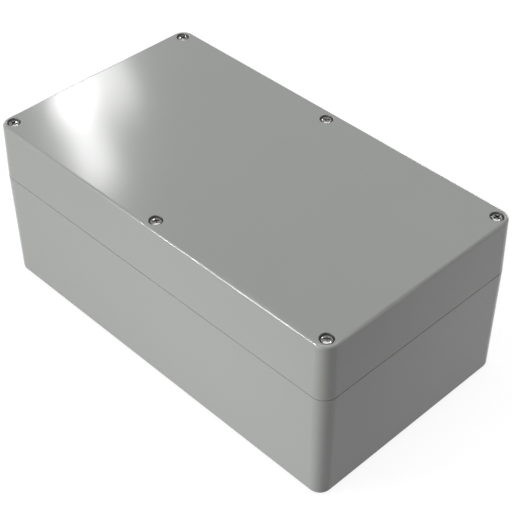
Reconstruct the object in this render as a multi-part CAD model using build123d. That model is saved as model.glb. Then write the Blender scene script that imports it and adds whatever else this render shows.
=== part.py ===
from build123d import *
import math
import os

# A lidded case moulded in ABS, as a deep base and a deep lid that meet at one
# level line. Millimetres. X runs along the long sides, Z is up, and the origin
# is the centre of the underside.

# Outside form
length = 360.0  # at the joint line, where both shells are widest
width = 200.5  # at the joint line
base_height = 100.0
lid_height = 50.0
corner_radius = 11.5  # upright corners, at the joint line
base_draft = 0.7  # degrees, the base narrows downwards
lid_draft = 1.2  # degrees, the lid narrows upwards
foot_round = 3.0  # edge round the underside
crown_round = 2.2  # edge round the lid's top

# Walls
rim_wall = 4.6  # side walls, at the joint line
base_floor = 4.0
lid_roof = 4.0
cavity_bevel = 1.5  # where the walls meet the floor or the roof
nook_radius = 4.0  # where a column's block meets a side wall
nose_radius = 7.0  # free corner of a corner column's block

# Shadow line between the two shells
joint_gap = 0.4  # height of the open slit
joint_gap_depth = 1.0
lip_bevel = 0.3  # edges on both sides of the slit

# Tongue, groove and seal
inner_lip = 1.3  # from the cavity to the groove
groove_width = 1.8
groove_depth = 4.4
tongue_height = 2.4
tongue_clearance = 0.3  # each side of the tongue

# Lid screws: one in each corner and one half way along each long side
screw_end_inset = 10.0  # from the end of the case to the screw's axis
screw_side_inset = 10.5  # from the long side to the screw's axis
column_radius = 9.0  # from a screw's axis to the cavity
recess_diameter = 11.0  # round sink for the head, in the lid's top
recess_edge = 0.3
head_sink = 1.3  # from the lid's top down to the head
head_diameter = 8.0
head_height = 3.1
head_bevel = 1.5
drive_width = 4.4  # across the wings of the cross in the head
drive_slot = 0.95
drive_depth = 1.8
waist_diameter = 2.9  # thin shank between the head and the thread
thread_diameter = 3.9
thread_length = 12.0
thread_reach = 9.4  # from the joint line down to the screw's tip
thread_lead = 0.6  # bevel at the tip
screw_rise = 11.0  # travel of an undone screw, up to its stop
stop_clearance = 0.4  # left between the thread and its stop at full rise
shank_clearance = 0.35  # round the thread, in the lid's column
waist_clearance = 0.3  # round the waist, in the web that keeps the screw
web_thickness = 4.0

# Threaded brass bushes in the base's columns
thread_clearance = 0.05  # round the thread, in the bush
bush_diameter = 6.4  # over the knurl
bush_length = 8.1
bush_sink = 0.3  # from the joint line down to the bush
bush_neck_diameter = 5.4  # between and under the knurled bands
knurl_root_diameter = 5.8
knurl_band = 2.6
knurl_teeth = 12
bush_relief = 3.6  # depth of the free bore under the bush
core_diameter = 7.0  # pocket in the column, from the underside
core_wall = 6.0  # left between that pocket and the free bore

# Wells for the wall screws, one beside each corner screw, outside the seal
well_spacing = 310.0  # along X
well_diameter = 10.4
well_floor = 6.0
wall_hole_diameter = 5.5

# Bosses on the floor for a mounting plate: x, then y
plate_boss_x = 150.0
plate_boss_y = 65.0
plate_boss_diameter = 10.0
plate_boss_height = 10.0
plate_pilot_diameter = 3.2
plate_pilot_depth = 9.0

# Bosses on the floor for a circuit board
board_boss_x = 70.0
board_boss_y = 40.0
board_boss_diameter = 7.0
board_boss_height = 6.0
board_pilot_diameter = 2.4
board_pilot_depth = 6.0

# Bosses under the lid's roof
lid_boss_x = 110.0
lid_boss_y = 55.0
lid_boss_diameter = 7.0
lid_boss_height = 8.0
lid_pilot_diameter = 2.4
lid_pilot_depth = 7.0

# Gussets at the foot of every boss
gusset_thickness = 1.6
gusset_reach = 4.5
gusset_share = 0.7  # of the boss's height

# Places worked out from the sizes above
screw_x = length / 2 - screw_end_inset
screw_y = width / 2 - screw_side_inset
cavity_half_x = length / 2 - rim_wall
cavity_half_y = width / 2 - rim_wall
block_x = well_spacing / 2 - column_radius
block_y = screw_y - column_radius
seat_depth = head_sink + head_height
seat_height = lid_height - seat_depth
shank_length = seat_height + thread_reach
thread_top = thread_length - thread_reach
web_bottom = thread_top + screw_rise + stop_clearance
column_bore = thread_diameter + 2 * shank_clearance
web_bore = waist_diameter + 2 * waist_clearance
bush_bore = thread_diameter + 2 * thread_clearance
bush_bottom = bush_sink + bush_length
relief_bottom = bush_bottom + bush_relief
UP = (Align.CENTER, Align.CENTER, Align.MIN)

screw_places = {
    "left_front": (-screw_x, -screw_y),
    "middle_front": (0.0, -screw_y),
    "right_front": (screw_x, -screw_y),
    "left_rear": (-screw_x, screw_y),
    "middle_rear": (0.0, screw_y),
    "right_rear": (screw_x, screw_y),
}


def four(x, y):
    """The four places that mirror one another about both centre lines."""
    return [(sx * x, sy * y) for sx in (-1, 1) for sy in (-1, 1)]


def rod(diameter, low, high):
    """Upright round bar between two heights."""
    return Pos(0, 0, low) * Cylinder(diameter / 2, high - low, align=UP)


def at(places, solid):
    """The same solid at every place of a list."""
    return [Pos(x, y, 0) * solid for x, y in places]


# Each shell is built with its mouth down on the joint plane, z = 0. The base is
# turned over at the end.


def cavity_outline():
    """Plan of the inside at the joint: a rectangle that steps in round the columns."""
    plan = Rectangle(2 * cavity_half_x, 2 * cavity_half_y)
    corner_x = length / 2 - block_x
    corner_y = width / 2 - block_y
    corner_block = Rectangle(corner_x, corner_y)
    for x, y in four(block_x + corner_x / 2, block_y + corner_y / 2):
        plan -= Pos(x, y) * corner_block
    middle_block = Rectangle(2 * column_radius, corner_y)
    for side in (-1, 1):
        plan -= Pos(0, side * (screw_y + corner_y / 2)) * middle_block
        plan -= Pos(0, side * screw_y) * Circle(column_radius)
    noses = [v for v in plan.vertices() if is_at(v, block_x, block_y)]
    plan = fillet(noses, nose_radius)
    nooks = [v for v in plan.vertices() if is_nook(v)]
    return fillet(nooks, nook_radius)


def is_at(vertex, x, y):
    """True where a corner of a plan mirrors the place x, y."""
    return math.isclose(abs(vertex.X), x, abs_tol=0.01) and math.isclose(abs(vertex.Y), y, abs_tol=0.01)


def is_nook(vertex):
    """True at a corner of the plan where a column's block meets a side wall."""
    places = ((block_x, cavity_half_y), (cavity_half_x, block_y), (column_radius, cavity_half_y))
    return any(is_at(vertex, x, y) for x, y in places)


def band(plan, near, far, low, high):
    """Wall that follows the plan between two distances outside it."""
    ring = offset(plan, far) - offset(plan, near)
    return Pos(0, 0, low) * extrude(ring, amount=high - low)


def outer_form(height, draft, far_round):
    """Solid outside of a shell, with its half of the slit at the joint."""
    mouth = RectangleRounded(length, width, corner_radius)
    skin = extrude(Pos(0, 0, joint_gap / 2) * mouth, amount=height - joint_gap / 2, taper=draft)
    skin = fillet(skin.edges().group_by(Axis.Z)[-1], far_round)
    skin = chamfer(skin.edges().group_by(Axis.Z)[0], lip_bevel)
    inset = 2 * joint_gap_depth
    land = RectangleRounded(length - inset, width - inset, corner_radius - joint_gap_depth)
    return skin + extrude(land, amount=joint_gap / 2)


def inner_form(plan, depth):
    """Solid that the cavity leaves empty."""
    core = extrude(plan, amount=depth)
    return chamfer(core.edges().group_by(Axis.Z)[-1], cavity_bevel)


def boss(diameter, height, pilot_diameter, pilot_depth):
    """Boss with gussets that hangs down from z = 0, and its pilot hole."""
    post = rod(diameter, -height, 0)
    half = diameter / 2
    tall = height * gusset_share
    side = Polyline((0, 0), (half + gusset_reach, 0), (half, -tall), (0, -tall), close=True)
    web = extrude(make_face(Plane.XZ * side), amount=gusset_thickness / 2, both=True)
    for quarter in range(4):
        post += Rot(0, 0, 90 * quarter) * web
    return post, rod(pilot_diameter, -height, pilot_depth - height)


def add_bosses(shell, level, places, sizes):
    """Bosses that stand on the inside face of a shell at a level."""
    post, pilot = boss(*sizes)
    shell += at(places, Pos(0, 0, level) * post)
    return shell - at(places, Pos(0, 0, level) * pilot)


def make_base(plan):
    """Deep base: floor, walls, screw columns, wells, bosses and the tongue."""
    shell = outer_form(base_height, base_draft, foot_round)
    shell -= inner_form(plan, base_height - base_floor)
    near = inner_lip + tongue_clearance
    far = inner_lip + groove_width - tongue_clearance
    shell += band(plan, near, far, -tongue_height, 0)
    level = base_height - base_floor
    plate = four(plate_boss_x, plate_boss_y) + [(0.0, -plate_boss_y), (0.0, plate_boss_y)]
    plate_sizes = (plate_boss_diameter, plate_boss_height, plate_pilot_diameter, plate_pilot_depth)
    shell = add_bosses(shell, level, plate, plate_sizes)
    board_sizes = (board_boss_diameter, board_boss_height, board_pilot_diameter, board_pilot_depth)
    shell = add_bosses(shell, level, four(board_boss_x, board_boss_y), board_sizes)
    socket = rod(bush_diameter, 0, bush_bottom) + rod(column_bore, 0, relief_bottom)
    socket += rod(core_diameter, relief_bottom + core_wall, base_height)
    shell -= at(screw_places.values(), socket)
    well = rod(well_diameter, 0, base_height - well_floor) + rod(wall_hole_diameter, 0, base_height)
    shell -= at(four(well_spacing / 2, screw_y), well)
    return Pos(0, 0, base_height) * mirror(shell, about=Plane.XY)


def make_lid(plan):
    """Deep lid: roof, walls, screw columns with their webs, bosses and the groove."""
    shell = outer_form(lid_height, lid_draft, crown_round)
    shell -= inner_form(plan, lid_height - lid_roof)
    shell -= band(plan, inner_lip, inner_lip + groove_width, 0, groove_depth)
    sizes = (lid_boss_diameter, lid_boss_height, lid_pilot_diameter, lid_pilot_depth)
    shell = add_bosses(shell, lid_height - lid_roof, four(lid_boss_x, lid_boss_y), sizes)
    sink = rod(recess_diameter, seat_height, lid_height)
    mouth = Cone(recess_diameter / 2, recess_diameter / 2 + recess_edge, recess_edge, align=UP)
    sink += Pos(0, 0, lid_height - recess_edge) * mouth
    sink += rod(column_bore, 0, web_bottom) + rod(web_bore, web_bottom, web_bottom + web_thickness)
    sink += rod(column_bore, web_bottom + web_thickness, seat_height)
    shell -= at(screw_places.values(), sink)
    pocket = rod(well_diameter, 0, lid_height - lid_roof)
    shell -= at(four(well_spacing / 2, screw_y), pocket)
    return Pos(0, 0, base_height) * shell


def make_seal(plan):
    """Soft seal pressed in the lid's groove, on top of the tongue."""
    ring = band(plan, inner_lip, inner_lip + groove_width, tongue_height, groove_depth)
    return Pos(0, 0, base_height) * ring


def make_screw():
    """Pan head with a cross drive, a thin waist and a short thread. The seat is at z = 0."""
    head = Cylinder(head_diameter / 2, head_height, align=UP)
    head = chamfer(head.edges().group_by(Axis.Z)[-1], head_bevel)
    wing = Pos(0, 0, head_height - drive_depth) * Box(drive_width, drive_slot, drive_depth, align=UP)
    head -= wing + Rot(0, 0, 90) * wing
    thread_end = thread_top - seat_height
    waist = rod(waist_diameter, thread_end, 0)
    thread = rod(thread_diameter, -shank_length, thread_end)
    thread = chamfer(thread.edges().group_by(Axis.Z)[0], thread_lead)
    return head + waist + thread


def make_bush():
    """Brass bush with two knurled bands. Its top is at z = 0."""
    points = []
    for tooth in range(knurl_teeth):
        turn = 360 / knurl_teeth * tooth
        points.append(Vector(bush_diameter / 2, 0).rotate(Axis.Z, turn))
        points.append(Vector(knurl_root_diameter / 2, 0).rotate(Axis.Z, turn + 180 / knurl_teeth))
    star = extrude(make_face(Polyline(points, close=True)), amount=knurl_band)
    bush = rod(bush_neck_diameter, -bush_length, 0)
    bush += Pos(0, 0, -knurl_band) * star
    bush += Pos(0, 0, -bush_length) * star
    return bush - rod(bush_bore, -bush_length, 0)


os.makedirs("parts", exist_ok=True)
outline = cavity_outline()
nodes = {"base": make_base(outline), "lid": make_lid(outline), "seal": make_seal(outline)}
screw = make_screw()
bush = make_bush()
for place, (x, y) in screw_places.items():
    nodes["lid_screw_" + place] = Pos(x, y, base_height + seat_height) * screw
    nodes["threaded_bush_" + place] = Pos(x, y, base_height - bush_sink) * bush
for name, solid in nodes.items():
    export_step(solid, "parts/" + name + ".step")
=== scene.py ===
import math

import bmesh
import bpy
from mathutils import Matrix, Vector


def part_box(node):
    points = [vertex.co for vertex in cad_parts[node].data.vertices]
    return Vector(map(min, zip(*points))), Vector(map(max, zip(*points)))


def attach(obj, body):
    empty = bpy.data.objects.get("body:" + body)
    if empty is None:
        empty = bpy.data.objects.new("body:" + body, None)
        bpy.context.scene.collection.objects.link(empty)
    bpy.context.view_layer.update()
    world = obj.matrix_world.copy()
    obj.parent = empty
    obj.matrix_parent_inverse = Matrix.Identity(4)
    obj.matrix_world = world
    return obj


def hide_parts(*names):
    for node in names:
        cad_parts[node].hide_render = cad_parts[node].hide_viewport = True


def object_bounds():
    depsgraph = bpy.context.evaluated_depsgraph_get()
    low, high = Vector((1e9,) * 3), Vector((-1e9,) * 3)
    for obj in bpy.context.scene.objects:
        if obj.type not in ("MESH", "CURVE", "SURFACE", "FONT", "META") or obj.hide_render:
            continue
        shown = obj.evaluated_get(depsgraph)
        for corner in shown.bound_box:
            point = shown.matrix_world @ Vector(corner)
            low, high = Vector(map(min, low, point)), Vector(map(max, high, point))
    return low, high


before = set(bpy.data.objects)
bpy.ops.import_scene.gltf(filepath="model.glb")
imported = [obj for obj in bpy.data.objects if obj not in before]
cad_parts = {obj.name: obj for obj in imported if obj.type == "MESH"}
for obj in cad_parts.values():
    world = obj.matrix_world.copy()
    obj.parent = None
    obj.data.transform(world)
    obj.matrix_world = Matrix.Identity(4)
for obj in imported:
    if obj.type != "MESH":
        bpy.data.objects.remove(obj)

# Sizes are in metres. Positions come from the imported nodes.
MM = 0.001
cad_low, cad_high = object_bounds()
spots = ["left_front", "middle_front", "right_front", "left_rear", "middle_rear", "right_rear"]
merge_distance = 0.002 * MM  # closer vertices of a new piece become one
smooth_angle = 35.0  # degrees between faces, past which an edge stays sharp

# Camera, as it stood for the photograph
camera_aim = Vector((0.0197, -0.0078, 0.0776))
camera_azimuth = 45.69  # degrees, to the right of the long side's normal
camera_elevation = 41.17
camera_roll = -0.09
camera_distance = 1.0574
camera_lens = 95.1  # for a sensor 36 wide
sensor_width = 36.0

# Lid screw
head_radius = 4.5 * MM
head_side = 2.6 * MM  # upright part of the head's side
head_height = 4.0 * MM
head_squareness = 2.6  # 2 is a round crown, more is a flatter one
head_rim = 0.15 * MM  # small bevel under the head
head_steps = 16  # of the crown's curve, from its middle to its side
round_steps = 64  # of the screw, all round
seat_drop = 3.1 * MM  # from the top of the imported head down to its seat
waist_radius = 1.45 * MM
waist_fillet = 0.25 * MM
thread_radius = 1.95 * MM
thread_root = 1.6 * MM
thread_pitch = 0.7 * MM
thread_foot = 0.42  # half the width of the ridge at its foot, against the pitch
thread_flat = 0.06  # half the width of its crest, against the pitch
thread_steps = 28  # of the ridge in each turn
thread_sink = 0.08 * MM  # of the ridge's foot into the screw's core
thread_length = 12.0 * MM
thread_plain = 2  # turns of that length without a ridge
thread_lead = 0.7 * MM  # bevel at the tip
wing_span = 6.2 * MM  # across the cross drive
wing_thickness = 1.35 * MM
drive_depth = 2.5 * MM
drive_above = 0.4 * MM  # of the cutter over the crown
drive_taper = 0.55  # width of the drive at its bottom, against its mouth
drive_turns = {  # degrees, as each screw happens to have stopped
    "left_front": 20, "middle_front": 62, "right_front": 45,
    "left_rear": 8, "middle_rear": 35, "right_rear": 74,
}

# Brass bush
bush_radius = 3.2 * MM
bush_neck = 2.7 * MM
bush_valley = 2.95 * MM  # radius between the teeth of the knurl
bush_band = 2.6 * MM
bush_bevel = 0.25 * MM
bush_teeth = 28
tooth_half = 0.25  # half the width of a tooth, against the teeth's pitch
tapped_radius = 2.02 * MM
tapped_crest = 1.66 * MM
tapped_sink = 0.05 * MM  # of the ridge's foot into the bush
tapped_plain = 3  # turns of the bush's height without a ridge

# Skin of every finish
cloud_detail = 3.0  # octaves of the noise
grain_detail = 2.0

# Studio
image_pixels = 512
floor_half = 6.0
floor_tone = 0.2
floor_rise = 0.02 * MM  # of the floor over the underside, so that the two don't coincide
floor_lift = 0.86  # added where the floor is seen directly, so that it is white
surround_strength = 0.03  # of the light from all round
glare_distance = 2.2  # of the mirrored softboxes, from the camera's mirror image in the lid
glare_boxes = {  # pixels across and down where the lid's plane mirrors each, and its size in pixels
    # Three make the glare near the lid's left end
    "rear_box": {"across": 73.5, "down": 98, "size": (37, 39), "turn": -25, "strength": 31},
    "rear_low_box": {"across": 93.5, "down": 158, "size": (36, 58), "turn": 22, "strength": 13.8},
    "rear_high_box": {"across": 111, "down": 78.5, "size": (38, 67), "turn": 24.5, "strength": 8.6},
    # Two are mirrored past the lid's edges, where only the domed screw heads catch them
    "left_spot": {"across": 180, "down": 400, "size": (22, 22), "turn": 0, "strength": 40},
    "right_spot": {"across": 640, "down": 150, "size": (22, 22), "turn": 0, "strength": 40},
}
case_middle = (0.0, 0.0, 0.08)  # what the larger softboxes face
long_edge = (0.07, -0.1, 0.15)  # where the light line on the long side's top edge is brightest
short_edge = (0.18, -0.1, 0.15)  # where the one on the short side's top edge begins
side_low = (0.12, -0.1, 0.05)  # brightest part of the long side
lid_side = (0.18, 0.0, 0.13)  # short side of the lid
far_side = (0.18, 0.08, 0.08)  # brighter end of the short side
softboxes = {  # place, what it faces, width and height, watts
    "low_front_box": {"place": (0.12, -0.5, 0.06), "aim": side_low, "size": (0.3, 0.1), "power": 0.79},
    "top_box": {"place": (0.0, 0.0, 1.9), "aim": case_middle, "size": (1.4, 1.4), "power": 16.0},
    "top_front_box": {"place": (-0.2, -1.0, 1.6), "aim": case_middle, "size": (1.0, 0.8), "power": 3.3},
    "right_box": {"place": (0.45, 0.1, 0.45), "aim": lid_side, "size": (0.2, 0.2), "power": 0.2},
    "right_low_box": {"place": (0.42, 0.12, 0.1), "aim": far_side, "size": (0.1, 0.06), "power": 0.07},
    # Three light the sides that the photograph hides
    "back_box": {"place": (-0.3, 1.8, 0.3), "aim": case_middle, "size": (1.2, 0.4), "power": 10.0},
    "left_box": {"place": (-1.9, 0.4, 0.3), "aim": case_middle, "size": (0.8, 0.4), "power": 8.0},
    "under_box": {"place": (0.0, 0.0, -1.5), "aim": case_middle, "size": (1.2, 1.2), "power": 16.0},
    # Three draw the light lines along the lid's top edges
    "edge_box": {"place": (-0.95, -1.72, 0.59), "aim": long_edge, "size": (0.5, 0.2), "power": 25.0},
    "edge_left_box": {"place": (-1.45, -1.5, 0.5), "aim": long_edge, "size": (0.6, 0.3), "power": 1.0},
    "short_edge_box": {"place": (0.18, 0.92, 1.87), "aim": short_edge, "size": (0.15, 0.1), "power": 4.0},
}


def link(name, mesh):
    """A new object at the origin, untransformed."""
    piece = bpy.data.objects.new(name, mesh)
    bpy.context.scene.collection.objects.link(piece)
    return piece


def verts_of(geometry):
    """The vertices among what an operator has just made."""
    return [item for item in geometry if isinstance(item, bmesh.types.BMVert)]


def finish_mesh(bm, name):
    """Closes, orients and smooths a bmesh and makes it a mesh."""
    bmesh.ops.remove_doubles(bm, verts=bm.verts, dist=merge_distance)
    bmesh.ops.recalc_face_normals(bm, faces=bm.faces)
    for face in bm.faces:
        face.smooth = True
    for edge in bm.edges:
        if len(edge.link_faces) == 2:
            edge.smooth = edge.calc_face_angle(0.0) < math.radians(smooth_angle)
    mesh = bpy.data.meshes.new(name)
    bm.to_mesh(mesh)
    bm.free()
    return mesh


def turn_profile(bm, profile, steps):
    """Spins a profile of (radius, height) points once round the Z axis."""
    verts = [bm.verts.new((radius, 0.0, height)) for radius, height in profile]
    edges = [bm.edges.new(pair) for pair in zip(verts, verts[1:])]
    bmesh.ops.spin(
        bm, geom=verts + edges, cent=(0, 0, 0), axis=(0, 0, 1), dvec=(0, 0, 0),
        angle=math.tau, steps=steps, use_merge=True, use_duplicate=False,
    )


def climb_ridge(bm, root, crest, bottom, turns):
    """Thread: a ridge that climbs round the Z axis."""
    foot = thread_pitch * thread_foot
    flat = thread_pitch * thread_flat
    section = [(root, -foot), (crest, -flat), (crest, flat), (root, foot)]
    verts = [bm.verts.new((radius, 0.0, bottom + height)) for radius, height in section]
    start = bm.faces.new(verts)
    bmesh.ops.spin(
        bm, geom=[start], cent=(0, 0, 0), axis=(0, 0, 1), dvec=(0, 0, thread_pitch / thread_steps),
        angle=math.tau * turns, steps=int(turns * thread_steps), use_merge=False,
        use_duplicate=False,
    )


def cross_cutter():
    """Tapered cross that cuts the drive into a head."""
    bm = bmesh.new()
    half = wing_thickness / 2
    bmesh.ops.create_grid(bm, x_segments=1, y_segments=1, size=half)
    for edge in list(bm.edges):
        middle = (edge.verts[0].co + edge.verts[1].co) / 2
        tips = verts_of(bmesh.ops.extrude_edge_only(bm, edges=[edge])["geom"])
        bmesh.ops.translate(bm, vec=middle.normalized() * (wing_span / 2 - half), verts=tips)
    bmesh.ops.translate(bm, vec=(0, 0, head_height + drive_above), verts=bm.verts)
    bottom = verts_of(bmesh.ops.extrude_face_region(bm, geom=bm.faces[:])["geom"])
    bmesh.ops.translate(bm, vec=(0, 0, -drive_depth - drive_above), verts=bottom)
    bmesh.ops.scale(bm, vec=(drive_taper, drive_taper, 1), verts=bottom)
    return link("drive_cutter", finish_mesh(bm, "drive_cutter"))


def head_profile():
    """Side of the pan head, from its middle over the crown and down to its rim."""
    profile = [(0.0, head_height)]
    power = 2 / head_squareness
    crown = head_height - head_side
    for step in range(1, head_steps + 1):
        angle = math.pi / 2 * (1 - step / head_steps)
        radius = head_radius * math.cos(angle) ** power
        profile.append((radius, head_side + crown * math.sin(angle) ** power))
    return profile + [(head_radius, head_rim), (head_radius - head_rim, 0.0)]


def shank_profile(tip):
    """Side of the waist and of the thread's core, from under the head to the tip."""
    thread_top = tip + thread_length
    return [
        (waist_radius + waist_fillet, 0.0), (waist_radius, -waist_fillet),
        (waist_radius, thread_top), (thread_root, thread_top - waist_fillet),
        (thread_root, tip + thread_lead), (thread_root - thread_lead, tip), (0.0, tip),
    ]


def plain_screw(tip):
    """Screw with its cross drive and no thread. The seat under the head is at z = 0."""
    bm = bmesh.new()
    turn_profile(bm, head_profile() + shank_profile(tip), round_steps)
    blank = link("screw_blank", finish_mesh(bm, "screw_blank"))
    cutter = cross_cutter()
    cut = blank.modifiers.new("drive", "BOOLEAN")
    cut.operation = "DIFFERENCE"
    cut.solver = "EXACT"
    cut.object = cutter
    bpy.context.view_layer.update()
    mesh = bpy.data.meshes.new_from_object(blank.evaluated_get(bpy.context.evaluated_depsgraph_get()))
    for spare in (blank, cutter):
        bpy.data.objects.remove(spare)
    return mesh


def lid_screws(finish):
    """The six lid screws, each with its cross turned as it stopped."""
    low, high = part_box("lid_screw_" + spots[0])
    tip = low.z - high.z + seat_drop
    plain = plain_screw(tip)
    for spot in spots:
        low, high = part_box("lid_screw_" + spot)
        bm = bmesh.new()
        bm.from_mesh(plain)
        turn = Matrix.Rotation(math.radians(drive_turns[spot]), 3, "Z")
        bmesh.ops.rotate(bm, cent=(0, 0, 0), matrix=turn, verts=bm.verts)
        turns = thread_length / thread_pitch - thread_plain
        climb_ridge(bm, thread_root - thread_sink, thread_radius, tip + thread_lead, turns)
        centre = (low + high) / 2
        bmesh.ops.translate(bm, vec=(centre.x, centre.y, high.z - seat_drop), verts=bm.verts)
        piece = link("pan_head_screw_" + spot, finish_mesh(bm, "pan_head_screw_" + spot))
        piece.data.materials.append(finish)
        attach(piece, "screw_" + spot)
        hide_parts("lid_screw_" + spot)


def bush_section(tall):
    """Closed section of a bush: plain bore, two bands for the knurl, a neck between them."""
    return [
        (tapped_radius, bush_bevel), (tapped_radius + bush_bevel, 0.0), (bush_neck, 0.0),
        (bush_radius, bush_bevel), (bush_radius, bush_band), (bush_neck, bush_band),
        (bush_neck, tall - bush_band), (bush_radius, tall - bush_band),
        (bush_radius, tall - bush_bevel), (bush_neck, tall),
        (tapped_radius + bush_bevel, tall), (tapped_radius, tall - bush_bevel),
        (tapped_radius, bush_bevel),
    ]


def is_valley(vert):
    """True for a vertex that lies between two teeth of the knurl."""
    tooth = math.atan2(vert.co.y, vert.co.x) / math.tau * bush_teeth
    outside = math.hypot(vert.co.x, vert.co.y) > (bush_neck + bush_radius) / 2
    return outside and abs(tooth - round(tooth)) > tooth_half


def first_turn(bush_low, spot):
    """Height in the bush where its ridge starts, half a pitch off the screw's ridge."""
    screw_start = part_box("lid_screw_" + spot)[0].z + thread_lead - bush_low
    return thread_pitch * (1.0 + (screw_start / thread_pitch + 0.5) % 1.0)


def threaded_bushes(finish):
    """The six brass bushes, each with a tapped bore that meets its screw's thread."""
    for spot in spots:
        low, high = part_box("threaded_bush_" + spot)
        tall = high.z - low.z
        bm = bmesh.new()
        turn_profile(bm, bush_section(tall), 2 * bush_teeth)
        bmesh.ops.remove_doubles(bm, verts=bm.verts, dist=merge_distance)
        share = bush_valley / bush_radius
        bmesh.ops.scale(bm, vec=(share, share, 1), verts=[v for v in bm.verts if is_valley(v)])
        first = first_turn(low.z, spot)
        turns = tall / thread_pitch - tapped_plain
        climb_ridge(bm, tapped_radius + tapped_sink, tapped_crest, first, turns)
        centre = (low + high) / 2
        bmesh.ops.translate(bm, vec=(centre.x, centre.y, low.z), verts=bm.verts)
        piece = link("brass_bush_" + spot, finish_mesh(bm, "brass_bush_" + spot))
        piece.data.materials.append(finish)
        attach(piece, "base")
        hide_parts("threaded_bush_" + spot)


def add(tree, kind, place):
    """A node of a shader tree."""
    node = tree.nodes.new(kind)
    node.location = place
    return node


def maths(tree, operation, place, *inputs):
    """A Math node. Each input is a socket to link or a number."""
    node = add(tree, "ShaderNodeMath", place)
    node.operation = operation
    for socket, value in zip(node.inputs, inputs):
        if isinstance(value, bpy.types.NodeSocket):
            tree.links.new(value, socket)
        else:
            socket.default_value = value
    return node.outputs[0]


def noise(tree, place, vector, scale, detail):
    """Noise on the given coordinates. The scale is a socket, the detail a number."""
    node = add(tree, "ShaderNodeTexNoise", place)
    node.inputs["Detail"].default_value = detail
    tree.links.new(vector, node.inputs["Vector"])
    tree.links.new(scale, node.inputs["Scale"])
    return node.outputs["Fac"]


def skin_group():
    """Skin of a moulded or turned part: cloudy tone, uneven gloss and a fine grain."""
    tree = bpy.data.node_groups.new("part_skin", "ShaderNodeTree")
    sockets = [
        ("Vector", "NodeSocketVector"), ("Colour", "NodeSocketColor"), ("Tone", "NodeSocketFloat"),
        ("Cloud Scale", "NodeSocketFloat"), ("Gloss", "NodeSocketFloat"),
        ("Gloss Range", "NodeSocketFloat"), ("Grain Scale", "NodeSocketFloat"),
        ("Grain Strength", "NodeSocketFloat"), ("Grain Height", "NodeSocketFloat"),
    ]
    for label, kind in sockets:
        tree.interface.new_socket(label, in_out="INPUT", socket_type=kind)
    outputs = [
        ("Colour", "NodeSocketColor"), ("Roughness", "NodeSocketFloat"), ("Normal", "NodeSocketVector"),
    ]
    for label, kind in outputs:
        tree.interface.new_socket(label, in_out="OUTPUT", socket_type=kind)
    given = add(tree, "NodeGroupInput", (-900, 0)).outputs
    result = add(tree, "NodeGroupOutput", (500, 0)).inputs
    cloud = noise(tree, (-700, 200), given["Vector"], given["Cloud Scale"], cloud_detail)
    centred = maths(tree, "SUBTRACT", (-500, 200), cloud, 0.5)
    tone = maths(tree, "MULTIPLY_ADD", (-300, 300), centred, given["Tone"], 1.0)
    shade = add(tree, "ShaderNodeVectorMath", (-100, 300))
    shade.operation = "SCALE"
    tree.links.new(given["Colour"], shade.inputs[0])
    tree.links.new(tone, shade.inputs["Scale"])
    tree.links.new(shade.outputs[0], result["Colour"])
    gloss = maths(tree, "MULTIPLY_ADD", (-300, 100), centred, given["Gloss Range"], given["Gloss"])
    tree.links.new(gloss, result["Roughness"])
    bump = add(tree, "ShaderNodeBump", (-100, -150))
    grain = noise(tree, (-700, -150), given["Vector"], given["Grain Scale"], grain_detail)
    tree.links.new(grain, bump.inputs["Height"])
    tree.links.new(given["Grain Strength"], bump.inputs["Strength"])
    tree.links.new(given["Grain Height"], bump.inputs["Distance"])
    tree.links.new(bump.outputs["Normal"], result["Normal"])
    return tree


def skinned(name, skin, metallic, **values):
    """A finish: the shared skin with its own values, on a shader of its own."""
    finish = bpy.data.materials.new(name)
    finish.use_nodes = True
    tree = finish.node_tree
    tree.nodes.clear()
    where = add(tree, "ShaderNodeTexCoord", (-700, 0))
    surface = add(tree, "ShaderNodeGroup", (-400, 0))
    surface.node_tree = skin
    for label, value in values.items():
        surface.inputs[label.replace("_", " ")].default_value = value
    shader = add(tree, "ShaderNodeBsdfPrincipled", (-100, 0))
    shader.inputs["Metallic"].default_value = metallic
    tree.links.new(where.outputs["Object"], surface.inputs["Vector"])
    tree.links.new(surface.outputs["Colour"], shader.inputs["Base Color"])
    tree.links.new(surface.outputs["Roughness"], shader.inputs["Roughness"])
    tree.links.new(surface.outputs["Normal"], shader.inputs["Normal"])
    out = add(tree, "ShaderNodeOutputMaterial", (300, 0))
    tree.links.new(shader.outputs[0], out.inputs["Surface"])
    return finish


def moulded_abs(skin):
    """Grey ABS from a polished mould."""
    return skinned(
        "moulded_grey_abs", skin, 0.0, Colour=(0.300, 0.309, 0.297, 1), Tone=0.04, Cloud_Scale=14.0,
        Gloss=0.145, Gloss_Range=0.02, Grain_Scale=1800.0, Grain_Strength=0.1, Grain_Height=0.01 * MM,
    )


def soft_rubber(skin):
    """Black rubber of the seal."""
    return skinned(
        "soft_black_rubber", skin, 0.0, Colour=(0.022, 0.022, 0.023, 1), Tone=0.5, Cloud_Scale=260.0,
        Gloss=0.62, Gloss_Range=0.2, Grain_Scale=3500.0, Grain_Strength=0.4, Grain_Height=0.05 * MM,
    )


def bright_steel(skin):
    """Polished stainless steel, dark between its glints."""
    return skinned(
        "bright_stainless_steel", skin, 1.0, Colour=(0.22, 0.217, 0.213, 1), Tone=0.3,
        Cloud_Scale=700.0, Gloss=0.08, Gloss_Range=0.05, Grain_Scale=5200.0, Grain_Strength=0.25,
        Grain_Height=0.02 * MM,
    )


def turned_brass(skin):
    """Brass as it comes off the lathe."""
    return skinned(
        "turned_brass", skin, 1.0, Colour=(0.80, 0.56, 0.24, 1), Tone=0.25,
        Cloud_Scale=600.0, Gloss=0.25, Gloss_Range=0.15, Grain_Scale=4800.0, Grain_Strength=0.3,
        Grain_Height=0.02 * MM,
    )


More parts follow.
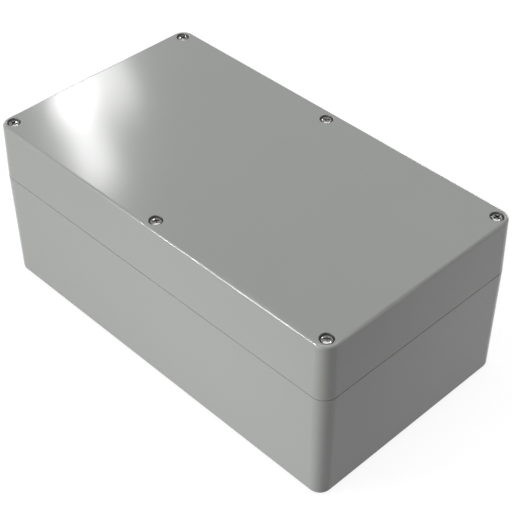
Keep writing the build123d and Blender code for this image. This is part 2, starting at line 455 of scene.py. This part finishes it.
def dress(node, finish):
    """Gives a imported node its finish."""
    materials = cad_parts[node].data.materials
    materials.clear()
    materials.append(finish)


def camera_pose():
    """Place and turn of the photograph's camera."""
    azimuth = math.radians(camera_azimuth)
    elevation = math.radians(camera_elevation)
    back = Vector((
        math.sin(azimuth) * math.cos(elevation),
        -math.cos(azimuth) * math.cos(elevation),
        math.sin(elevation),
    ))
    right = Vector((math.cos(azimuth), math.sin(azimuth), 0.0))
    up = back.cross(right)
    turn = Matrix((right, up, back)).transposed() @ Matrix.Rotation(math.radians(camera_roll), 3, "Z")
    return Matrix.Translation(camera_aim + back * camera_distance) @ turn.to_4x4()


def set_camera():
    """The camera of the photograph."""
    data = bpy.data.cameras.new("camera")
    data.sensor_width = sensor_width
    data.lens = camera_lens
    data.clip_start = 0.05
    data.clip_end = 50.0
    camera = bpy.data.objects.new("camera", data)
    camera.matrix_world = camera_pose()
    bpy.context.scene.collection.objects.link(camera)
    bpy.context.scene.camera = camera


def lamp(name, pose, size, power):
    """Rectangular softbox."""
    data = bpy.data.lights.new(name, "AREA")
    data.shape = "RECTANGLE"
    data.size, data.size_y = size
    data.energy = power
    box = bpy.data.objects.new(name, data)
    box.matrix_world = pose
    bpy.context.scene.collection.objects.link(box)


def softbox(name, place, aim, size, power):
    """Softbox at a place, facing a point."""
    turn = (Vector(aim) - Vector(place)).to_track_quat("-Z", "Y").to_matrix()
    lamp(name, Matrix.Translation(place) @ turn.to_4x4(), size, power)


def glare_box(name, across, down, size, turn, strength):
    """Softbox placed by where the lid's plane mirrors it in the photograph."""
    camera = camera_pose()
    camera.translation.z -= 2 * cad_high.z
    mirrored = Matrix.Diagonal((1, 1, -1, 1)) @ camera
    metres = glare_distance * sensor_width / camera_lens / image_pixels
    middle = (image_pixels - 1) / 2
    offset = Vector(((across - middle) * metres, (middle - down) * metres, -glare_distance))
    place = mirrored @ offset
    away = (place - mirrored.translation).normalized()
    level = (mirrored.to_3x3() @ Vector((1, 0, 0))).normalized()
    upright = away.cross(level).normalized()
    level = upright.cross(away)
    facing = Matrix((level, upright, away)).transposed() @ Matrix.Rotation(math.radians(turn), 3, "Z")
    width, height = size[0] * metres, size[1] * metres
    watts = strength * width * height * math.pi
    lamp(name, Matrix.Translation(place) @ facing.to_4x4(), (width, height), watts)


def set_lamps():
    """Softboxes at their places, and those placed by their mirror images in the lid."""
    for name, values in softboxes.items():
        softbox(name, **values)
    for name, values in glare_boxes.items():
        glare_box(name, **values)


def seen_directly(tree, place):
    """1 for the rays that show a thing as it looks: from the camera, off gloss or through glass."""
    path = add(tree, "ShaderNodeLightPath", place)
    seen = maths(tree, "MAXIMUM", (place[0] + 200, place[1]), path.outputs["Is Camera Ray"],
                 path.outputs["Is Glossy Ray"])
    return maths(tree, "MAXIMUM", (place[0] + 400, place[1]), seen, path.outputs["Is Transmission Ray"])


def set_surround():
    """Weak even light from all round, which looks white."""
    world = bpy.data.worlds.new("white_surround")
    world.use_nodes = True
    tree = world.node_tree
    tree.nodes.clear()
    seen = seen_directly(tree, (-900, 200))
    strength = maths(tree, "MULTIPLY_ADD", (-300, 200), seen, 1.0 - surround_strength, surround_strength)
    light = add(tree, "ShaderNodeBackground", (-100, 0))
    light.inputs["Color"].default_value = (1, 1, 1, 1)
    tree.links.new(strength, light.inputs["Strength"])
    out = add(tree, "ShaderNodeOutputWorld", (100, 0))
    tree.links.new(light.outputs[0], out.inputs["Surface"])
    bpy.context.scene.world = world


def set_floor():
    """Plain pale floor that keeps the case's shadow, and is clear from below."""
    bm = bmesh.new()
    bmesh.ops.create_grid(bm, x_segments=1, y_segments=1, size=floor_half)
    bmesh.ops.translate(bm, vec=(0, 0, cad_low.z + floor_rise), verts=bm.verts)
    mesh = bpy.data.meshes.new("pale_floor")
    bm.to_mesh(mesh)
    bm.free()
    floor = link("pale_floor", mesh)
    finish = bpy.data.materials.new("pale_floor")
    finish.use_nodes = True
    tree = finish.node_tree
    tree.nodes.clear()
    matt = add(tree, "ShaderNodeBsdfDiffuse", (-100, 100))
    matt.inputs["Color"].default_value = (floor_tone, floor_tone, floor_tone, 1)
    lift = add(tree, "ShaderNodeEmission", (-100, -100))
    seen = seen_directly(tree, (-900, -100))
    tree.links.new(maths(tree, "MULTIPLY", (-300, -100), seen, floor_lift), lift.inputs["Strength"])
    both = add(tree, "ShaderNodeAddShader", (100, 0))
    tree.links.new(matt.outputs[0], both.inputs[0])
    tree.links.new(lift.outputs[0], both.inputs[1])
    side = add(tree, "ShaderNodeNewGeometry", (100, 250))
    clear = add(tree, "ShaderNodeBsdfTransparent", (100, -150))
    choice = add(tree, "ShaderNodeMixShader", (300, 0))
    tree.links.new(side.outputs["Backfacing"], choice.inputs[0])
    tree.links.new(both.outputs[0], choice.inputs[1])
    tree.links.new(clear.outputs[0], choice.inputs[2])
    out = add(tree, "ShaderNodeOutputMaterial", (500, 0))
    tree.links.new(choice.outputs[0], out.inputs["Surface"])
    floor.data.materials.append(finish)


def build_case():
    """Every piece of the case."""
    skin = skin_group()
    plastic = moulded_abs(skin)
    dress("base", plastic)
    dress("lid", plastic)
    dress("seal", soft_rubber(skin))
    lid_screws(bright_steel(skin))
    threaded_bushes(turned_brass(skin))


build_case()
set_camera()
set_lamps()
set_surround()
set_floor()
bpy.context.scene.view_settings.view_transform = "Standard"
